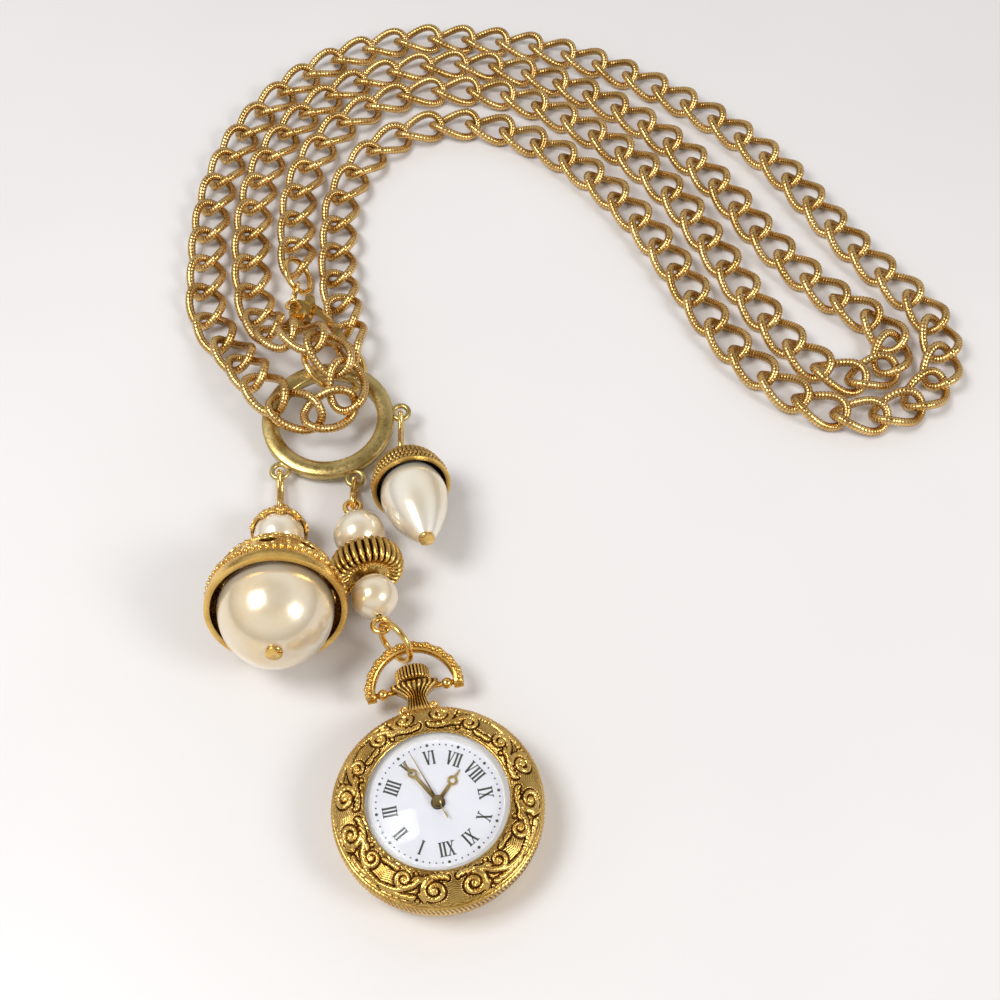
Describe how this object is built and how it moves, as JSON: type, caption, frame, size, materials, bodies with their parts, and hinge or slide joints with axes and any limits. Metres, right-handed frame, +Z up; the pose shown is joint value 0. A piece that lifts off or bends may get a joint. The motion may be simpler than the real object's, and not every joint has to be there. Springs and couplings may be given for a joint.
{
  "type": "pendant watch",
  "caption": "Antique-style pendant quartz watch on a long curb chain, with a big ring that carries pearl and gold drops",
  "frame": {"origin": "centre of the case back's outer face, where the watch rests on the table", "axes": "+Z up out of the table through the dial, +Y along the drops from the watch to the chain's far bend, +X to the right of the picture"},
  "size_m": [0.1325, 0.1804, 0.0194],
  "materials": {
    "case": "antiqued gold plate, polished high spots and brown hollows",
    "chain": "antiqued gold plate",
    "ring": "brushed olive gold plate",
    "fittings": "antiqued gold plate",
    "pearl": "cream pearl lacquer",
    "crystal": "clear domed",
    "dial": "white print on a brass disc",
    "rehaut": "silver white",
    "hands": "gold",
    "movement": "plain",
    "steel": "satin",
    "holder": "white moulded",
    "board": "green board",
    "coil": "enamelled copper wire",
    "rubber": "black",
    "disc": "amber tinted gold"
  },
  "bodies": {
    "chain": {"chain_run_1": "chain", "chain_run_2": "chain", "chain_run_3": "chain", "chain_run_4": "chain", "end_ring": "chain", "clasp_link": "chain", "clasp_body": "chain", "clasp_pin": "chain", "clasp_ring": "chain"},
    "clasp_lever": {"clasp_lever": "chain"},
    "ring": {"big_ring": "ring"},
    "left_link": {"left_connector": "fittings"},
    "left_drop": {"left_pin": "disc"},
    "small_cap": {"small_cap": "fittings"},
    "small_pearl": {"small_pearl": "pearl"},
    "dome_cap": {"dome_cap": "fittings"},
    "large_pearl": {"large_pearl": "pearl"},
    "right_link": {"right_connector": "fittings"},
    "right_drop": {"teardrop_pin": "disc"},
    "teardrop": {"acorn_cap": "fittings", "teardrop_pearl": "pearl"},
    "mid_link": {"mid_connector": "fittings"},
    "mid_drop": {"mid_pin": "fittings"},
    "upper_pearl": {"upper_pearl": "pearl"},
    "rondelle": {"rondelle": "fittings"},
    "lower_pearl": {"lower_pearl": "pearl"},
    "bow_ring": {"bow_ring": "fittings"},
    "bow": {"bow": "case"},
    "case": {"case_ring": "case", "case_back": "case", "back_gasket": "rubber", "bezel": "case", "crystal": "crystal", "rehaut_ring": "rehaut", "dial": "dial", "movement_holder": "holder", "main_plate": "movement", "train_bridge": "movement", "bridge_screws": "steel", "battery": "steel", "battery_strap": "steel", "circuit_board": "board", "quartz_can": "steel", "coil": "coil", "stator": "steel", "neck": "case", "bow_screws": "case"},
    "minute_train": {"centre_wheel": "movement", "minute_hand": "hands"},
    "second_train": {"second_wheel": "movement", "second_hand": "hands"},
    "third_wheel": {"third_wheel": "movement"},
    "minute_wheel": {"minute_wheel": "movement"},
    "hour_train": {"hour_wheel": "movement", "hour_hand": "hands"},
    "rotor": {"rotor": "steel"},
    "stem_collar": {"stem_collar": "steel"},
    "crown": {"stem": "steel", "crown": "case", "crown_gasket": "rubber"}
  },
  "joints": [
    {"name": "lever_swing", "type": "hinge", "parent": "chain", "child": "clasp_lever", "pos_m": [-0.02403, 0.08809, 0.00445], "axis": [0.6379, 0.4521, -0.6235], "range_deg": [0, 20], "stiffness_Nm_per_rad": 0.00002, "springref_deg": -11.46},
    {"name": "ring_swing", "type": "hinge", "parent": "chain", "child": "ring", "pos_m": [-0.0193, 0.07428, 0.00411], "axis": [-1, 0, 0], "range_deg": [0, 2]},
    {"name": "left_link_swing", "type": "hinge", "parent": "ring", "child": "left_link", "pos_m": [-0.02612, 0.05477, 0.00189], "axis": [-0.994, -0.1097, 0], "range_deg": [0, 30]},
    {"name": "left_drop_swing", "type": "hinge", "parent": "left_link", "child": "left_drop", "pos_m": [-0.0254, 0.04821, 0.00254], "axis": [0, 0, -1], "range_deg": [0, 25]},
    {"name": "small_cap_spin", "type": "hinge", "parent": "left_drop", "child": "small_cap", "pos_m": [-0.0255, 0.04916, 0.00245], "axis": [0.1042, -0.9437, 0.314], "continuous": true},
    {"name": "small_pearl_spin", "type": "hinge", "parent": "left_drop", "child": "small_pearl", "pos_m": [-0.0255, 0.04916, 0.00245], "axis": [0.1042, -0.9437, 0.314], "continuous": true},
    {"name": "dome_cap_spin", "type": "hinge", "parent": "left_drop", "child": "dome_cap", "pos_m": [-0.0255, 0.04916, 0.00245], "axis": [0.1042, -0.9437, 0.314], "continuous": true},
    {"name": "large_pearl_spin", "type": "hinge", "parent": "left_drop", "child": "large_pearl", "pos_m": [-0.0255, 0.04916, 0.00245], "axis": [0.1042, -0.9437, 0.314], "continuous": true},
    {"name": "right_link_swing", "type": "hinge", "parent": "ring", "child": "right_link", "pos_m": [-0.00775, 0.06545, 0.0031], "axis": [-0.9986, -0.0523, 0], "range_deg": [0, 30]},
    {"name": "right_drop_swing", "type": "hinge", "parent": "right_link", "child": "right_drop", "pos_m": [-0.00739, 0.05844, 0.00364], "axis": [0, 0, 1], "range_deg": [0, 20]},
    {"name": "teardrop_spin", "type": "hinge", "parent": "right_drop", "child": "teardrop", "pos_m": [-0.00765, 0.05937, 0.00357], "axis": [0.2337, -0.9372, 0.2588], "continuous": true},
    {"name": "mid_link_swing", "type": "hinge", "parent": "ring", "child": "mid_link", "pos_m": [-0.01443, 0.0535, 0.00174], "axis": [-0.9994, -0.0349, 0], "range_deg": [0, 20]},
    {"name": "mid_drop_swing", "type": "hinge", "parent": "mid_link", "child": "mid_drop", "pos_m": [-0.01425, 0.04811, 0.00446], "axis": [0, 0, 1], "range_deg": [0, 2]},
    {"name": "upper_pearl_spin", "type": "hinge", "parent": "mid_drop", "child": "upper_pearl", "pos_m": [-0.00836, 0.02511, 0.00662], "axis": [-0.249, 0.9628, -0.1045], "continuous": true},
    {"name": "rondelle_spin", "type": "hinge", "parent": "mid_drop", "child": "rondelle", "pos_m": [-0.00836, 0.02511, 0.00662], "axis": [-0.249, 0.9628, -0.1045], "continuous": true},
    {"name": "lower_pearl_spin", "type": "hinge", "parent": "mid_drop", "child": "lower_pearl", "pos_m": [-0.00836, 0.02511, 0.00662], "axis": [-0.249, 0.9628, -0.1045], "continuous": true},
    {"name": "bow_ring_swing", "type": "hinge", "parent": "mid_drop", "child": "bow_ring", "pos_m": [-0.00836, 0.02511, 0.00662], "axis": [-0.9681, -0.2504, 0], "range_deg": [0, 20]},
    {"name": "bow_swing", "type": "hinge", "parent": "bow_ring", "child": "bow", "pos_m": [-0.00462, 0.02174, 0.00505], "axis": [-0.9781, -0.2079, 0], "range_deg": [0, 12]},
    {"name": "case_swing", "type": "hinge", "parent": "bow", "child": "case", "pos_m": [-0.00374, 0.01762, 0.00384], "axis": [-0.9781, -0.2079, 0], "range_deg": [0, 60]},
    {"name": "minute_turn", "type": "hinge", "parent": "case", "child": "minute_train", "pos_m": [0, 0, 0], "axis": [0, 0, -1], "continuous": true},
    {"name": "second_turn", "type": "hinge", "parent": "case", "child": "second_train", "pos_m": [0, 0, 0], "axis": [0, 0, -1], "continuous": true},
    {"name": "third_turn", "type": "hinge", "parent": "case", "child": "third_wheel", "pos_m": [-0.0035, -0.00219, 0], "axis": [0, 0, -1], "continuous": true},
    {"name": "minute_wheel_turn", "type": "hinge", "parent": "case", "child": "minute_wheel", "pos_m": [0.00192, -0.00213, 0], "axis": [0, 0, -1], "continuous": true},
    {"name": "hour_turn", "type": "hinge", "parent": "case", "child": "hour_train", "pos_m": [0, 0, 0], "axis": [0, 0, -1], "continuous": true},
    {"name": "rotor_turn", "type": "hinge", "parent": "case", "child": "rotor", "pos_m": [-0.00298, 0.00278, 0], "axis": [0, 0, -1], "continuous": true},
    {"name": "crown_pull", "type": "slide", "parent": "case", "child": "stem_collar", "axis": [-0.2079, 0.9781, 0], "range_m": [0, 0.0004]},
    {"name": "crown_turn", "type": "hinge", "parent": "stem_collar", "child": "crown", "pos_m": [0, 0, 0.00384], "axis": [-0.2079, 0.9781, 0], "continuous": true}
  ],
  "couplings": [
    {"joint": "second_turn", "follows": "minute_turn", "ratio": 60},
    {"joint": "third_turn", "follows": "minute_turn", "ratio": -8},
    {"joint": "minute_wheel_turn", "follows": "minute_turn", "ratio": -0.33333},
    {"joint": "hour_turn", "follows": "minute_turn", "ratio": 0.083333}
  ]
}
